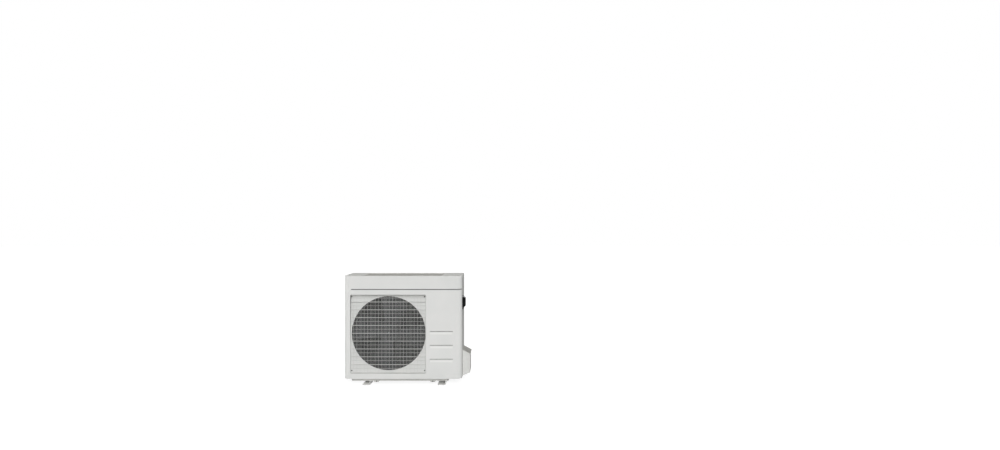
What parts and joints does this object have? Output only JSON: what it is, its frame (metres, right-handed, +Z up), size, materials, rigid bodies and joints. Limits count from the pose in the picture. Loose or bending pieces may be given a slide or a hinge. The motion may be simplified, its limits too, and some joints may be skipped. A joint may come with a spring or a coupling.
{
  "type": "air-to-water heat pump",
  "caption": "Outdoor air-to-water heat pump: round-cornered casing with a guarded fan, finned coil, compressor and water side, on two feet.",
  "frame": {"origin": "centre of the four foot slots, on the ground", "axes": "+Z up, +X to the right seen from the front, +Y to the rear"},
  "size_m": [0.9723, 0.3428, 0.839],
  "materials": {
    "casing_white": "satin powder coat",
    "guard_white": "plastic coated wire",
    "galvanised": "zinc coated sheet",
    "black_plastic": "moulded, fine grain",
    "cover_plastic": "moulded, fine grain",
    "fan_plastic": "moulded, satin",
    "dark_steel": "black zinc",
    "zinc_screw": "bright zinc",
    "shaft_steel": "ground",
    "fin_aluminium": "extruded cooling fins",
    "fin_coated": "thin fins with a dark protective coat",
    "copper": "copper tube, slightly dulled",
    "brass": "turned",
    "black_paint": "black enamel",
    "stainless": "brazed plates",
    "grommet_rubber": "moulded",
    "pump_iron": "painted casting",
    "board_green": "board with parts",
    "knob_red": "moulded knob"
  },
  "bodies": {
    "casing": {"accumulator": "black_paint", "air_vent": "brass", "base_pan": "casing_white", "bell_mouth": "cover_plastic", "cable_glands": "black_plastic", "capillary_tubes": "copper", "casing_screws": "zinc_screw", "circulation_pump": "pump_iron", "coil_end_plates": "galvanised", "coil_fins": "fin_coated", "coil_gas_pipe": "copper", "coil_header": "copper", "compressor": "black_paint", "compressor_bolts": "zinc_screw", "compressor_grommets": "grommet_rubber", "connection_cover": "cover_plastic", "distributor": "copper", "drain_spigot": "black_plastic", "electrical_box": "galvanised", "electrical_box_lid": "galvanised", "expansion_valve": "brass", "fan_guard": "guard_white", "fan_motor": "galvanised", "flow_switch": "black_plastic", "four_way_coil": "black_plastic", "four_way_valve": "brass", "front_panel": "casing_white", "front_screws": "dark_steel", "heat_sink": "fin_aluminium", "hot_gas_pipes": "copper", "inverter_board": "board_green", "left_foot": "casing_white", "left_side_panel": "casing_white", "liquid_pipe": "copper", "motor_bracket": "black_paint", "partition_plate": "galvanised", "plate_exchanger": "stainless", "plate_stand": "galvanised", "pump_pipe": "copper", "reactor": "black_paint", "rear_coil_guard": "guard_white", "rear_panel": "casing_white", "return_bends": "copper", "return_pipe": "copper", "right_foot": "casing_white", "right_handle": "black_plastic", "right_side_panel": "casing_white", "safety_valve": "brass", "side_coil_guard": "guard_white", "suction_pipes": "copper", "supply_pipe": "copper", "terminal_block": "cover_plastic", "terminal_cover": "black_plastic", "top_cover": "casing_white", "water_unions": "brass"},
    "fan_rotor": {"fan": "fan_plastic", "fan_shaft": "shaft_steel", "fan_nut": "zinc_screw"},
    "safety_knob_turn": {"safety_knob": "knob_red"}
  },
  "joints": [
    {"name": "fan_spin", "type": "hinge", "parent": "casing", "child": "fan_rotor", "pos_m": [-0.1174, -0.093, 0.3967], "axis": [0, -1, 0], "continuous": true},
    {"name": "safety_knob_spin", "type": "hinge", "parent": "casing", "child": "safety_knob_turn", "pos_m": [0.366, 0.01, 0.462], "axis": [0, 0, 1], "range_deg": [0, 90]}
  ]
}
